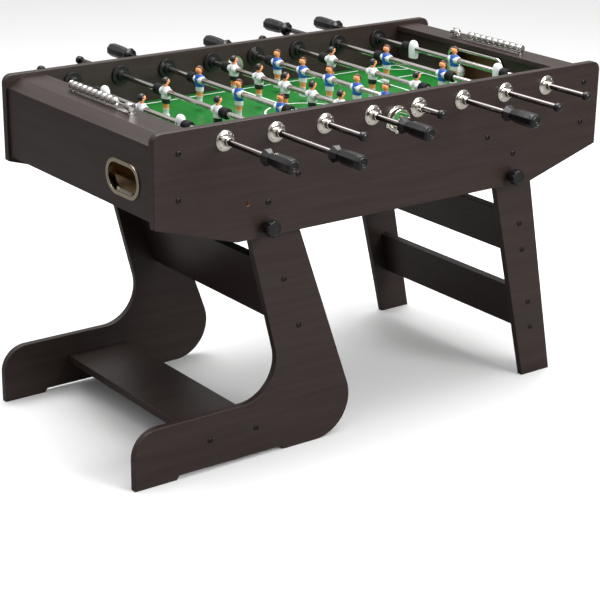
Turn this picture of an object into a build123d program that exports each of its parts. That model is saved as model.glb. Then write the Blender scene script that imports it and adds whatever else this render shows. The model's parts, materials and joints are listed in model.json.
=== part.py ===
from build123d import *
import math
import os

# A folding table football table. Millimetres: X along the table, Y across it from the near side to the
# far side, Z up from the floor. It is drawn about the middle of the cabinet and moved by FRAME_SHIFT on
# export, so that the origin lies on the floor under the middle of the whole table.

# Cabinet
LENGTH = 1210
WIDTH = 630
PANEL = 18
TOP_Z = 760
END_LOW_Z = 566
MID_LOW_Z = 506
SLANT_X = 408
TOP_CORNER_R = 20
LOW_CORNER_R = 3
IN_Y = WIDTH / 2 - PANEL
OUT_Y = WIDTH / 2
END_X = 600
END_THICK = 15
END_PANEL_LOW_Z = 577

# Caps over the ball chambers at both ends
CAP_IN_X = 502
CAP_FLAT_X = 568
CAP_TOP_Z = 750
CAP_THICK = 12
CAP_EDGE_Z = 732
CAP_LIP = 6
CAP_EDGE_ROUND = 1
CAP_BEVEL_ROUND = 2

# Playfield and goals
FIELD_Z = 655
FIELD_THICK = 12
BAR_X = (-255, 267)
BAR_THICK = 20
BAR_HEIGHT = 30
GOAL_WALL_X = (507.5, 520)
GOAL_HALF = 90
GOAL_TOP_Z = 728
GOAL_R = 14
GOAL_TUBE_R = 4
GOAL_TUBE_HALF = 95
GOAL_TUBE_Z = 732
GOAL_TUBE_BEND = 18
TRAY_Z = 610
TRAY_THICK = 10
TRAY_LIP = 6

# Ball return mouths, one in each end panel, point-symmetric
RETURN_Y = 190
RETURN_Z = 643
RETURN_LENGTH = 130
RETURN_HEIGHT = 76
RETURN_WALL = 3
RETURN_FLANGE = 6
RETURN_FLANGE_THICK = 3

# Ball feeders in the side panels
FEEDER_X = 4
FEEDER_Z = 708
FEEDER_FLANGE_R = 31
FEEDER_FLANGE_THICK = 3
FEEDER_SLEEVE_R = 24.5
FEEDER_HOLE_R = 21
FEEDER_HOOD = 16
FEEDER_SCREW_ANGLES = (-155, -90, -25)

# Rods and what is on them
ROD_COUNT = 8
ROD_PITCH = 125
ROD_Z = 725
ROD_R = 6.35
RUNNING = 0.08
FITTED = 0.05
PLAY = 0.3
MEN_Y = {"goalie": (0,), "two": (-103, 103), "three": (-158, 0, 158), "five": (-204, -102, 0, 102, 204)}
STOP_Y = {"goalie": (-153, 153), "two": (), "three": (), "five": ()}
HANDLE_END = {"goalie": 550, "two": 602, "three": 550, "five": 506}
CAP_END = {"goalie": 452, "two": 492, "three": 452, "five": 401}
ROD_KIND = ("goalie", "two", "three", "five", "five", "three", "two", "goalie")
ROD_TEAM = (1, 1, -1, 1, -1, 1, -1, -1)

# Men: heights from the rod's axis, sizes from front to back, across and upwards
MAN_WIDTH = 34
MAN_DEPTH = 20
HEAD_R = 10
HEAD_TOP = 32.5
NECK_R = 5
NECK_TALL = 8
NECK_UP = 13
TORSO_TALL = 28
TORSO_UP = -1
TORSO_ROUND = 6
SHORTS_SIZE = (18, 24, 12)
SHORTS_UP = -20
SHORTS_ROUND = 4
LEGS_SIZE = (12, 17, 29)
LEGS_UP = -40.5
FOOT_SIZE = (12, 20, 9)
FOOT_UP = -54.5
FOOT_FORWARD = 1
STOP_TOP = 20
STOP_DROP = 24
STOP_WIDTH = 30
STOP_ROUND = 7
STOP_TOP_ROUND = 6
BUMPER_R = 12
BUMPER_LENGTH = 20
BUMPER_GAP = 0.6
BUMPER_RIBS = 4
BUMPER_GROOVE = 1.5
BUMPER_GROOVE_HALF = 0.8

# Handles and end caps
GRIP_SIDES = 8
GRIP_ACROSS = 30
GRIP_WAIST = 26
GRIP_END = 28
GRIP_TIP = 20
GRIP_LENGTH = 94
GRIP_CHAMFER = 4
COLLAR_ACROSS = 36
COLLAR_LENGTH = 12
GRIP_NECK_LENGTH = 7
GRIP_NECK_R = 9
ROD_INSET = 8
GRIP_DIMPLE_R = 8
GRIP_DIMPLE_DEPTH = 2
END_CAP_R = 10
END_CAP_LENGTH = 14
END_CAP_WALL = 4
END_CAP_ROUND = 5

# Rod bearings
BEARING_HOLE_R = 10
BUSH_SLEEVE_R = 9.5
BUSH_DISC_R = 22
BUSH_DISC_THICK = 5
BUSH_DISC_ROUND = 3
BUSH_NOSE = 14
FLANGE_R = 23
FLANGE_THICK = 6
FLANGE_SLEEVE_R = 12
FLANGE_SLEEVE = 8
SCREW_CIRCLE_R = 16
SCREW_ANGLES = (45, 135, 225, 315)
SCREW_R = 2.2
SCREW_HEAD = 1.2

# Score counters
COUNTER_X = 531
COUNTER_Y = 8
COUNTER_HALF = 125
COUNTER_WIDTH = 16
COUNTER_BASE_THICK = 2.7
COUNTER_POST = 3
COUNTER_POST_RISE = 1
COUNTER_WIRE_Z = 763.5
COUNTER_WIRE_R = 2.25
BEAD_R = 9.5
BEAD_LENGTH = 20.4
BEAD_PITCH = 20.8
BEAD_ROUND = 3
BEAD_PACK = 9

# Folding gear
LEG = 16
FOLD_PIVOT = (-330, 580)
SPLAY_PIVOT = (347, 580)
LOCK_OFFSET = (-4, -51.5)
FOLD_LEG_Y = 295
SPLAY_LEG_Y = 278.4
PIVOT_R = 6
PIVOT_HEAD_R = 10
PIVOT_HEAD = 4
PIVOT_COLLAR_R = 13
PIVOT_NUT = 8
LOCK_HOLE_R = 5.5
KNOB_R = 19
KNOB_HEAD = 20
KNOB_HUB_R = 11
KNOB_HUB = 10
KNOB_SHANK_R = 4
KNOB_TIP_GAP = 0.5
KNOB_FLUTES = 10
KNOB_FLUTE_R = 3
KNOB_FLUTE_CIRCLE_R = 20
BOARD = 18
BOLT_R = 6.5
BOLT_HEAD = 3
PANEL_BOLTS = ((-547, 715), (-548, 620), (557, 716.5), (554, 624), (-255, 628), (267, 628))

# The wide frame's leg: a long foot with a toe and a heel, and an upright that leans back
CURVED_LEG = (
    (-650, 130),
    (-650, 0),
    (-548, 0),
    (-540, 9),
    (-278, 9),
    (-270, 0),
    (-55.2, 0),
    (-281.5, 632),
    (-396, 632),
    (-267, 130),
)
CURVED_LEG_RADII = [60, 1, 1, 2, 2, 1, 90, 40, 40, 88]
FOLD_SHELF_X = (-482, -322)
FOLD_SHELF_Z = (62, 80)
FOLD_SCREWS = ((-274.3, 395.6), (-233.5, 283.1))
FOLD_BOARD_RUN = (-30, 134)

# The narrow frame's leg: straight, leaning outwards under a rounded head
SPLAY_LEG = ((303.8, 617), (453.6, 0), (540.9, 0), (437.1, 515), (378, 617))
SPLAY_LEG_RADII = [34, 1, 1, 12, 30]
SPLAY_SCREWS = ((415.1, 391.2), (458.3, 188.8))
SPLAY_RAIL_RUNS = ((-25, 82), (178, 285))
BOARD_ROUND = 1

# How far a cut reaches past the face that it opens, and the move to the origin
CUT = 1
FRAME_SHIFT = 22.5


def block(x, y, z):
    # A box between two limits on each axis.
    size = (x[1] - x[0], y[1] - y[0], z[1] - z[0])
    middle = ((x[0] + x[1]) / 2, (y[0] + y[1]) / 2, (z[0] + z[1]) / 2)
    return Pos(*middle) * Box(*size)


def across(radius, x, z, y):
    # A cylinder along Y between two limits.
    return Pos(x, (y[0] + y[1]) / 2, z) * Rot(X=90) * Cylinder(radius, abs(y[1] - y[0]))


def ring(outer, inner, x, z, y):
    # A tube along Y between two limits.
    return across(outer, x, z, y) - across(inner, x, z, y)


def plate(points, radii, y):
    # A board standing in the XZ plane, with a radius for each corner.
    outline = FilletPolyline(*[(px, y[0], pz) for px, pz in points], radius=radii, close=True)
    return extrude(make_face(outline), amount=y[1] - y[0], dir=(0, 1, 0))


def both_sides(shape):
    # The piece and its mirror image across the middle of the table's width.
    return [shape, mirror(shape, about=Plane.XZ)]


def half_turn(shape):
    # The piece and its copy turned half round about the middle of the table.
    return [shape, Rot(Z=180) * shape]


def shift(point, offset):
    return (point[0] + offset[0], point[1] + offset[1])


def turned(point, centre, degrees):
    # The point swung about +Y round the centre.
    angle = math.radians(degrees)
    x = point[0] - centre[0]
    z = point[1] - centre[1]
    return (
        centre[0] + x * math.cos(angle) + z * math.sin(angle),
        centre[1] - x * math.sin(angle) + z * math.cos(angle),
    )


def rod_x(index):
    return (index - (ROD_COUNT - 1) / 2) * ROD_PITCH


def write(name, solids):
    # One node's solids, side by side in one file.
    placed = [Pos(FRAME_SHIFT, 0, 0) * solid for solid in solids]
    export_step(placed[0] if len(placed) == 1 else Compound(children=placed), f"parts/{name}.step")


# ---- cabinet ----


FOLD_LOCK = shift(FOLD_PIVOT, LOCK_OFFSET)
SPLAY_LOCK = shift(SPLAY_PIVOT, LOCK_OFFSET)
SPARE_LOCK = turned(FOLD_LOCK, FOLD_PIVOT, 90)


def side_panel():
    # The far panel, with the holes for bearings, feeder, pivots and locking knobs.
    half = LENGTH / 2
    outline = (
        (-half, TOP_Z),
        (-half, END_LOW_Z),
        (-SLANT_X, MID_LOW_Z),
        (SLANT_X, MID_LOW_Z),
        (half, END_LOW_Z),
        (half, TOP_Z),
    )
    radii = [TOP_CORNER_R] + [LOW_CORNER_R] * 4 + [TOP_CORNER_R]
    panel = plate(outline, radii, (IN_Y, OUT_Y))
    through = (IN_Y - CUT, OUT_Y + CUT)
    for index in range(ROD_COUNT):
        panel -= across(BEARING_HOLE_R, rod_x(index), ROD_Z, through)
    panel -= across(FEEDER_SLEEVE_R + PLAY, FEEDER_X, FEEDER_Z, through)
    for x, z in (FOLD_PIVOT, SPLAY_PIVOT):
        panel -= across(PIVOT_R + PLAY, x, z, through)
    for x, z in (FOLD_LOCK, SPLAY_LOCK, SPARE_LOCK):
        panel -= across(LOCK_HOLE_R, x, z, through)
    return panel


def stadium(length, height, thick):
    # A round-ended slab in the YZ plane, centred on the origin.
    middle = Box(thick, length - height, height)
    end = Rot(Y=90) * Cylinder(height / 2, thick)
    reach = (length - height) / 2
    return middle + Pos(0, reach, 0) * end + Pos(0, -reach, 0) * end


def at_return(shape, x):
    return Pos(x, -RETURN_Y, RETURN_Z) * shape


SLEEVE_LENGTH = RETURN_LENGTH - 2 * RETURN_FLANGE
SLEEVE_HEIGHT = RETURN_HEIGHT - 2 * RETURN_FLANGE
MOUTH_LENGTH = SLEEVE_LENGTH - 2 * RETURN_WALL
MOUTH_HEIGHT = SLEEVE_HEIGHT - 2 * RETURN_WALL


def end_panel():
    # The left end, with its ball return mouth.
    panel = block((-END_X, -END_X + END_THICK), (-IN_Y, IN_Y), (END_PANEL_LOW_Z, CAP_EDGE_Z - CAP_LIP))
    hole = stadium(SLEEVE_LENGTH + 2 * PLAY, SLEEVE_HEIGHT + 2 * PLAY, 3 * END_THICK)
    return panel - at_return(hole, -END_X)


def return_rim():
    flange = stadium(RETURN_LENGTH, RETURN_HEIGHT, RETURN_FLANGE_THICK)
    flange = at_return(flange, -END_X - RETURN_FLANGE_THICK / 2)
    sleeve = at_return(stadium(SLEEVE_LENGTH, SLEEVE_HEIGHT, END_THICK), -END_X + END_THICK / 2)
    return flange + sleeve - at_return(stadium(MOUTH_LENGTH, MOUTH_HEIGHT, 4 * END_THICK), -END_X)


def top_cap():
    # The left cap: a flat top that falls away in a bevel to the end panel.
    under_z = CAP_TOP_Z - CAP_THICK
    outline = (
        (-CAP_IN_X, under_z),
        (-CAP_IN_X, CAP_TOP_Z),
        (-CAP_FLAT_X, CAP_TOP_Z),
        (-END_X, CAP_EDGE_Z),
        (-END_X, CAP_EDGE_Z - CAP_LIP),
        (-END_X + END_THICK, CAP_EDGE_Z - CAP_LIP),
        (-CAP_FLAT_X, under_z),
    )
    radii = [0, CAP_EDGE_ROUND, CAP_BEVEL_ROUND, CAP_BEVEL_ROUND, 0, 0, 0]
    return plate(outline, radii, (-IN_Y, IN_Y))


def goal_wall():
    under_z = CAP_TOP_Z - CAP_THICK
    wall = block((-GOAL_WALL_X[1], -GOAL_WALL_X[0]), (-IN_Y, IN_Y), (FIELD_Z, under_z))
    low = FIELD_Z - GOAL_R
    corners = ((-GOAL_HALF, low), (-GOAL_HALF, GOAL_TOP_Z), (GOAL_HALF, GOAL_TOP_Z), (GOAL_HALF, low))
    x = -GOAL_WALL_X[1] - CUT
    outline = FilletPolyline(*[(x, y, z) for y, z in corners], radius=[0, GOAL_R, GOAL_R, 0], close=True)
    return wall - extrude(make_face(outline), amount=4 * GOAL_R, dir=(1, 0, 0))


def goal_frame():
    # A bent tube round the goal, just clear of the goalkeeper's swing.
    x = -GOAL_WALL_X[0] + GOAL_TUBE_R + FITTED
    corners = (
        (-GOAL_TUBE_HALF, FIELD_Z),
        (-GOAL_TUBE_HALF, GOAL_TUBE_Z),
        (GOAL_TUBE_HALF, GOAL_TUBE_Z),
        (GOAL_TUBE_HALF, FIELD_Z),
    )
    path = FilletPolyline(*[(x, y, z) for y, z in corners], radius=GOAL_TUBE_BEND)
    section = Plane(origin=path @ 0, z_dir=path % 0) * Circle(GOAL_TUBE_R)
    return sweep(section, path=path)


def playfield():
    return block((-GOAL_WALL_X[1], GOAL_WALL_X[1]), (-IN_Y, IN_Y), (FIELD_Z - FIELD_THICK, FIELD_Z))


def playfield_bars():
    top = FIELD_Z - FIELD_THICK
    half = BAR_THICK / 2
    return [block((x - half, x + half), (-IN_Y, IN_Y), (top - BAR_HEIGHT, top)) for x in BAR_X]


def ball_tray():
    # The floor of the left ball chamber, with a lip that closes the gap under the playfield.
    floor_x = (-END_X + END_THICK, -GOAL_WALL_X[1])
    floor = block(floor_x, (-IN_Y, IN_Y), (TRAY_Z - TRAY_THICK, TRAY_Z))
    lip_x = (-GOAL_WALL_X[1], -GOAL_WALL_X[1] + TRAY_LIP)
    return floor + block(lip_x, (-IN_Y, IN_Y), (TRAY_Z - TRAY_THICK, FIELD_Z - FIELD_THICK))


def ball_feeder():
    # The far feeder: a flange on the panel, a sleeve through it and a hood over the upper half.
    outer = (OUT_Y, OUT_Y + FEEDER_FLANGE_THICK)
    flange = across(FEEDER_FLANGE_R, FEEDER_X, FEEDER_Z, outer)
    sleeve = across(FEEDER_SLEEVE_R, FEEDER_X, FEEDER_Z, (IN_Y, OUT_Y))
    hood_y = (OUT_Y, OUT_Y + FEEDER_HOOD)
    hood = across(FEEDER_SLEEVE_R, FEEDER_X, FEEDER_Z, hood_y)
    reach = 2 * FEEDER_FLANGE_R
    lower_x = (FEEDER_X - reach, FEEDER_X + reach)
    lower = block(lower_x, (outer[1], outer[1] + reach), (FEEDER_Z - reach, FEEDER_Z))
    hole = across(FEEDER_HOLE_R, FEEDER_X, FEEDER_Z, (IN_Y - CUT, OUT_Y + reach))
    return flange + sleeve + (hood - lower) - hole


def bearing_bush(x):
    # The outer bearing: a domed disc, a nose outwards and a sleeve through the panel.
    disc = across(BUSH_DISC_R, x, ROD_Z, (OUT_Y, OUT_Y + BUSH_DISC_THICK))
    rim = disc.edges().filter_by(GeomType.CIRCLE).sort_by(Axis.Y)[-1]
    disc = fillet(rim, BUSH_DISC_ROUND)
    nose = across(BUSH_SLEEVE_R, x, ROD_Z, (IN_Y, OUT_Y + BUSH_DISC_THICK + BUSH_NOSE))
    return disc + nose - across(ROD_R + RUNNING, x, ROD_Z, (IN_Y - CUT, OUT_Y + 2 * BUSH_NOSE))


def bearing_flange(x):
    # The inner bearing: a thick flange on the panel and a sleeve into the cabinet.
    flange = across(FLANGE_R, x, ROD_Z, (IN_Y - FLANGE_THICK, IN_Y))
    sleeve = across(FLANGE_SLEEVE_R, x, ROD_Z, (IN_Y - FLANGE_THICK - FLANGE_SLEEVE, IN_Y))
    return flange + sleeve - across(ROD_R + RUNNING, x, ROD_Z, (IN_Y - 2 * FLANGE_R, IN_Y + CUT))


def pivot_bolt(pivot, leg_outer):
    # Head outside, shank through panel and leg, a collar that holds the leg off the panel, and a nut.
    x, z = pivot
    leg_inner = leg_outer - LEG
    head = across(PIVOT_HEAD_R, x, z, (OUT_Y, OUT_Y + PIVOT_HEAD))
    shank = across(PIVOT_R, x, z, (leg_inner - PIVOT_NUT, OUT_Y))
    collar = across(PIVOT_COLLAR_R, x, z, (leg_outer + PLAY, IN_Y))
    nut = across(PIVOT_HEAD_R, x, z, (leg_inner - PIVOT_NUT, leg_inner - PLAY))
    return head + shank + collar + nut


def bearing_screws(x):
    face = OUT_Y + BUSH_DISC_THICK
    for degrees in SCREW_ANGLES:
        angle = math.radians(degrees)
        screw_x = x + SCREW_CIRCLE_R * math.cos(angle)
        screw_z = ROD_Z + SCREW_CIRCLE_R * math.sin(angle)
        yield across(SCREW_R, screw_x, screw_z, (face, face + SCREW_HEAD))


def feeder_screws():
    face = OUT_Y + FEEDER_FLANGE_THICK
    circle = (FEEDER_FLANGE_R + FEEDER_SLEEVE_R) / 2
    for degrees in FEEDER_SCREW_ANGLES:
        angle = math.radians(degrees)
        x = FEEDER_X + circle * math.cos(angle)
        z = FEEDER_Z + circle * math.sin(angle)
        yield across(SCREW_R, x, z, (face, face + SCREW_HEAD))


def cabinet_fasteners():
    solids = [pivot_bolt(FOLD_PIVOT, FOLD_LEG_Y), pivot_bolt(SPLAY_PIVOT, SPLAY_LEG_Y)]
    solids += [across(BOLT_R, x, z, (OUT_Y, OUT_Y + BOLT_HEAD)) for x, z in PANEL_BOLTS]
    solids += list(feeder_screws())
    for index in range(ROD_COUNT):
        solids += list(bearing_screws(rod_x(index)))
    return [solid for one in solids for solid in both_sides(one)]


# ---- score counters ----


COUNTER_LOW_Z = CAP_TOP_Z
COUNTER_TOP_Z = COUNTER_WIRE_Z + BEAD_R + COUNTER_POST_RISE
BEAD_START = COUNTER_HALF - COUNTER_POST - FITTED


def score_rail():
    # The left counter: a base strip, a post at each end and the wire that the beads slide on.
    x = (-COUNTER_X - COUNTER_WIDTH / 2, -COUNTER_X + COUNTER_WIDTH / 2)
    y = (COUNTER_Y - COUNTER_HALF, COUNTER_Y + COUNTER_HALF)
    rail = block(x, y, (COUNTER_LOW_Z, COUNTER_LOW_Z + COUNTER_BASE_THICK))
    rail += block(x, (y[0], y[0] + COUNTER_POST), (COUNTER_LOW_Z, COUNTER_TOP_Z))
    rail += block(x, (y[1] - COUNTER_POST, y[1]), (COUNTER_LOW_Z, COUNTER_TOP_Z))
    return rail + across(COUNTER_WIRE_R, -COUNTER_X, COUNTER_WIRE_Z, y)


def bead(y):
    # One bead of the left counter, with its middle at y along the wire.
    half = BEAD_LENGTH / 2
    shell = across(BEAD_R, -COUNTER_X, COUNTER_WIRE_Z, (y - half, y + half))
    shell = fillet(shell.edges().filter_by(GeomType.CIRCLE), BEAD_ROUND)
    through = (y - BEAD_PITCH, y + BEAD_PITCH)
    return shell - across(COUNTER_WIRE_R + FITTED, -COUNTER_X, COUNTER_WIRE_Z, through)


def bead_pack():
    # The beads not yet scored, packed at the far end of the left counter.
    first = COUNTER_Y + BEAD_START - PLAY - BEAD_LENGTH / 2
    return [bead(first - BEAD_PITCH * step) for step in range(BEAD_PACK)]


def scored_bead():
    return bead(COUNTER_Y - BEAD_START + PLAY + BEAD_LENGTH / 2)


# ---- rods ----


def man(x, y, facing):
    # A figure with its feet down, in front of which is +X when facing is 1.
    def part(shape, dx, dz):
        return Pos(x + facing * dx, y, ROD_Z + dz) * shape

    def upright(size, radius):
        return fillet(Box(*size).edges().filter_by(Axis.Z), radius)

    head = part(Sphere(HEAD_R), 0, HEAD_TOP - HEAD_R)
    neck = part(Cylinder(NECK_R, NECK_TALL), 0, NECK_UP)
    torso = part(upright((MAN_DEPTH, MAN_WIDTH, TORSO_TALL), TORSO_ROUND), 0, TORSO_UP)
    shorts = part(upright(SHORTS_SIZE, SHORTS_ROUND), 0, SHORTS_UP)
    legs = part(Box(*LEGS_SIZE), 0, LEGS_UP)
    foot = part(Box(*FOOT_SIZE), FOOT_FORWARD, FOOT_UP)
    bore = across(ROD_R + FITTED, x, ROD_Z, (y - MAN_WIDTH, y + MAN_WIDTH))
    return head + neck + torso + shorts + legs + foot - bore


def goal_stop(x, y):
    # A headless torso that widens the goalkeeper's rod.
    height = STOP_TOP + STOP_DROP
    torso = Box(MAN_DEPTH, STOP_WIDTH, height)
    torso = fillet(torso.edges().filter_by(Axis.Z), STOP_ROUND)
    torso = fillet(torso.edges().group_by(Axis.Z)[-1], STOP_TOP_ROUND)
    bore = across(ROD_R + FITTED, x, ROD_Z, (y - MAN_WIDTH, y + MAN_WIDTH))
    return Pos(x, y, ROD_Z + (STOP_TOP - STOP_DROP) / 2) * torso - bore


def men(index):
    x = rod_x(index)
    kind = ROD_KIND[index]
    figures = [man(x, y, ROD_TEAM[index]) for y in MEN_Y[kind]]
    return figures + [goal_stop(x, y) for y in STOP_Y[kind]]


def bumper_start(kind):
    # Where the bumper begins, just outside the outermost figure.
    if STOP_Y[kind]:
        return STOP_Y[kind][-1] + STOP_WIDTH / 2 + BUMPER_GAP
    return MEN_Y[kind][-1] + MAN_WIDTH / 2 + BUMPER_GAP


def bumper(x, start):
    # A ribbed rubber sleeve on the far side of the rod's figures.
    end = start + BUMPER_LENGTH
    sleeve = ring(BUMPER_R, ROD_R + RUNNING, x, ROD_Z, (start, end))
    pitch = BUMPER_LENGTH / (BUMPER_RIBS + 1)
    for step in range(1, BUMPER_RIBS + 1):
        y = start + pitch * step
        groove = (y - BUMPER_GROOVE_HALF, y + BUMPER_GROOVE_HALF)
        sleeve -= ring(BUMPER_R + CUT, BUMPER_R - BUMPER_GROOVE, x, ROD_Z, groove)
    return sleeve


def handle_side(index):
    # The near side for one team and the far side for the other.
    return -ROD_TEAM[index]


def rod(index):
    kind = ROD_KIND[index]
    side = handle_side(index)
    ends = (side * (HANDLE_END[kind] - ROD_INSET), -side * (CAP_END[kind] - END_CAP_WALL))
    return across(ROD_R, rod_x(index), ROD_Z, (min(ends), max(ends)))


def octagon(distance, across_flats, x):
    # An eight-sided section round the rod at a distance from the table's middle, on the far side.
    plane = Plane(origin=(x, distance, ROD_Z), z_dir=(0, 1, 0))
    return plane * RegularPolygon(across_flats / 2, GRIP_SIDES, major_radius=False, rotation=180 / GRIP_SIDES)


def handle(index):
    # The octagonal grip with its flared collar and neck, and the small cap on the rod's other end.
    kind = ROD_KIND[index]
    x = rod_x(index)
    end = HANDLE_END[kind]
    start = end - GRIP_LENGTH
    flare_y = start + GRIP_NECK_LENGTH
    neck = across(GRIP_NECK_R, x, ROD_Z, (start, flare_y + CUT))
    grip_y = flare_y + COLLAR_LENGTH
    collar = loft([octagon(flare_y, COLLAR_ACROSS, x), octagon(grip_y, GRIP_WAIST, x)])
    swell = (grip_y + end) / 2
    grip = loft([octagon(grip_y, GRIP_WAIST, x), octagon(swell, GRIP_ACROSS, x)])
    grip += loft([octagon(swell, GRIP_ACROSS, x), octagon(end - GRIP_CHAMFER, GRIP_END, x)])
    tip = loft([octagon(end - GRIP_CHAMFER, GRIP_END, x), octagon(end, GRIP_TIP, x)])
    bore = across(ROD_R + FITTED, x, ROD_Z, (start - CUT, end - ROD_INSET + FITTED))
    dimple = across(GRIP_DIMPLE_R, x, ROD_Z, (end - GRIP_DIMPLE_DEPTH, end + CUT))
    whole = neck + collar + grip + tip - bore - dimple
    cap_end = CAP_END[kind]
    cap = across(END_CAP_R, x, ROD_Z, (-cap_end, -cap_end + END_CAP_LENGTH))
    dome = cap.edges().filter_by(GeomType.CIRCLE).sort_by(Axis.Y)[0]
    cap = fillet(dome, END_CAP_ROUND)
    cap -= across(ROD_R + FITTED, x, ROD_Z, (-cap_end + END_CAP_WALL - FITTED, -cap_end + 2 * END_CAP_LENGTH))
    if handle_side(index) > 0:
        return [whole, cap]
    return [mirror(whole, about=Plane.XZ), mirror(cap, about=Plane.XZ)]


# ---- folding frames ----


def leg_holes(pivot, lock, y):
    # The pivot's running hole and the hole that the locking knob screws into.
    through = (y - LEG - CUT, y + CUT)
    return across(PIVOT_R + RUNNING, *pivot, through) + across(KNOB_SHANK_R, *lock, through)


def curved_leg():
    leg = plate(CURVED_LEG, CURVED_LEG_RADII, (FOLD_LEG_Y - LEG, FOLD_LEG_Y))
    return leg - leg_holes(FOLD_PIVOT, FOLD_LOCK, FOLD_LEG_Y)


def fold_shelf():
    inner = FOLD_LEG_Y - LEG
    return block(FOLD_SHELF_X, (-inner, inner), FOLD_SHELF_Z)


def sloping_board(screws, reach, run):
    # A board in line with two screws, over a run from the first one, between the legs' inner faces.
    start, end = screws
    before, after = run
    dx = end[0] - start[0]
    dz = end[1] - start[1]
    length = math.hypot(dx, dz)
    along = (dx / length, dz / length)
    side = (along[1] * BOARD / 2, -along[0] * BOARD / 2)
    corners = []
    for distance, sign in ((before, 1), (before, -1), (after, -1), (after, 1)):
        x = start[0] + along[0] * distance + sign * side[0]
        z = start[1] + along[1] * distance + sign * side[1]
        corners.append((x, z))
    return plate(corners, [BOARD_ROUND] * 4, (-reach, reach))


def fold_crossboard():
    return sloping_board(FOLD_SCREWS, FOLD_LEG_Y - LEG, FOLD_BOARD_RUN)


def splay_leg():
    leg = plate(SPLAY_LEG, SPLAY_LEG_RADII, (SPLAY_LEG_Y - LEG, SPLAY_LEG_Y))
    return leg - leg_holes(SPLAY_PIVOT, SPLAY_LOCK, SPLAY_LEG_Y)


def splay_rails():
    return [sloping_board(SPLAY_SCREWS, SPLAY_LEG_Y - LEG, run) for run in SPLAY_RAIL_RUNS]


def locking_knob(lock):
    # The far knob: a fluted head, a hub and a bolt that ends just short of the leg.
    x, z = lock
    hub_end = OUT_Y + PLAY + KNOB_HUB
    head = across(KNOB_R, x, z, (hub_end, hub_end + KNOB_HEAD))
    for step in range(KNOB_FLUTES):
        angle = math.radians(360 / KNOB_FLUTES * (step + 0.5))
        flute_x = x + KNOB_FLUTE_CIRCLE_R * math.cos(angle)
        flute_z = z + KNOB_FLUTE_CIRCLE_R * math.sin(angle)
        head -= across(KNOB_FLUTE_R, flute_x, flute_z, (hub_end - CUT, hub_end + KNOB_HEAD + CUT))
    hub = across(KNOB_HUB_R, x, z, (OUT_Y + PLAY, hub_end))
    return head + hub + across(KNOB_SHANK_R, x, z, (FOLD_LEG_Y + KNOB_TIP_GAP, OUT_Y + PLAY))


# ---- files ----


os.makedirs("parts", exist_ok=True)
far_panel = side_panel()
write("side_panel_back", [far_panel])
write("side_panel_front", [mirror(far_panel, about=Plane.XZ)])
write("end_panels", half_turn(end_panel()))
write("top_caps", half_turn(top_cap()))
write("goal_walls", half_turn(goal_wall()))
write("goal_frames", half_turn(goal_frame()))
write("playfield", [playfield()])
write("playfield_bars", playfield_bars())
write("ball_trays", half_turn(ball_tray()))
write("ball_return_rims", half_turn(return_rim()))
write("ball_feeders", both_sides(ball_feeder()))
write("bearing_bushes", [b for i in range(ROD_COUNT) for b in both_sides(bearing_bush(rod_x(i)))])
write("bearing_flanges", [b for i in range(ROD_COUNT) for b in both_sides(bearing_flange(rod_x(i)))])
write("cabinet_fasteners", cabinet_fasteners())

left_pack = bead_pack()
write("score_rails", half_turn(score_rail()))
write("score_beads_left", left_pack)
write("score_beads_right", [Rot(Z=180) * one for one in left_pack])
write("scored_bead_left", [scored_bead()])
write("scored_bead_right", [Rot(Z=180) * scored_bead()])

for i in range(ROD_COUNT):
    write(f"rod_{i + 1}", [rod(i)])
    write(f"men_{i + 1}", men(i))
    write(f"handle_{i + 1}", handle(i))
    write(f"bumpers_{i + 1}", both_sides(bumper(rod_x(i), bumper_start(ROD_KIND[i]))))

write("curved_legs", both_sides(curved_leg()))
write("fold_shelf", [fold_shelf()])
write("fold_crossboard", [fold_crossboard()])
write("splay_legs", both_sides(splay_leg()))
write("splay_rails", splay_rails())

for place, lock in (("left", FOLD_LOCK), ("right", SPLAY_LOCK)):
    knob = locking_knob(lock)
    write(f"locking_knob_back_{place}", [knob])
    write(f"locking_knob_front_{place}", [mirror(knob, about=Plane.XZ)])
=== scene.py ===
import json
import math

import bpy
from mathutils import Matrix, Vector


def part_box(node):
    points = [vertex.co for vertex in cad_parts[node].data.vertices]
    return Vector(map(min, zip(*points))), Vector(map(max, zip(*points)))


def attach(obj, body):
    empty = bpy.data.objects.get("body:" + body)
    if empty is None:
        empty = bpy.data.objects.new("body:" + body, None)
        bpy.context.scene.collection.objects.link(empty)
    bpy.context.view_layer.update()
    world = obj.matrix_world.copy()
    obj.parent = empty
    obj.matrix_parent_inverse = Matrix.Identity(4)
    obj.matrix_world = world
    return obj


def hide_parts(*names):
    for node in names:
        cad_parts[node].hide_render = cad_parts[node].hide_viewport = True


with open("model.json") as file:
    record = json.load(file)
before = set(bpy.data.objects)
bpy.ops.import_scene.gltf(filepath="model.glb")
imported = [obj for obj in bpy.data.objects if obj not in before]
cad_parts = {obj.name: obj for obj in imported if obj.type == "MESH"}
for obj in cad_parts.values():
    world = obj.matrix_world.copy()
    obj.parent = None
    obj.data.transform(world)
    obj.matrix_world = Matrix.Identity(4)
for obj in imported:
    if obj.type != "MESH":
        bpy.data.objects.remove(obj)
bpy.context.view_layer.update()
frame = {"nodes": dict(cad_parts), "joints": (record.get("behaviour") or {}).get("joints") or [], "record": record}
joints = {joint["name"]: joint for joint in frame["joints"]}
print("frame loaded:", len(frame["nodes"]), "nodes")

mm = 0.001
asIs, halfTurn = Matrix.Identity(4), Matrix.Rotation(math.pi, 4, "Z")
quarterTurn = Matrix.Rotation(math.pi / 2, 4, "Z")
mirrorY = Matrix.Scale(-1, 4, (0, 1, 0))
rodNumbers = range(1, 9)


def deselectAll():
    if bpy.context.object and bpy.context.object.mode != "OBJECT":
        bpy.ops.object.mode_set(mode="OBJECT")
    bpy.ops.object.select_all(action="DESELECT")


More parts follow.
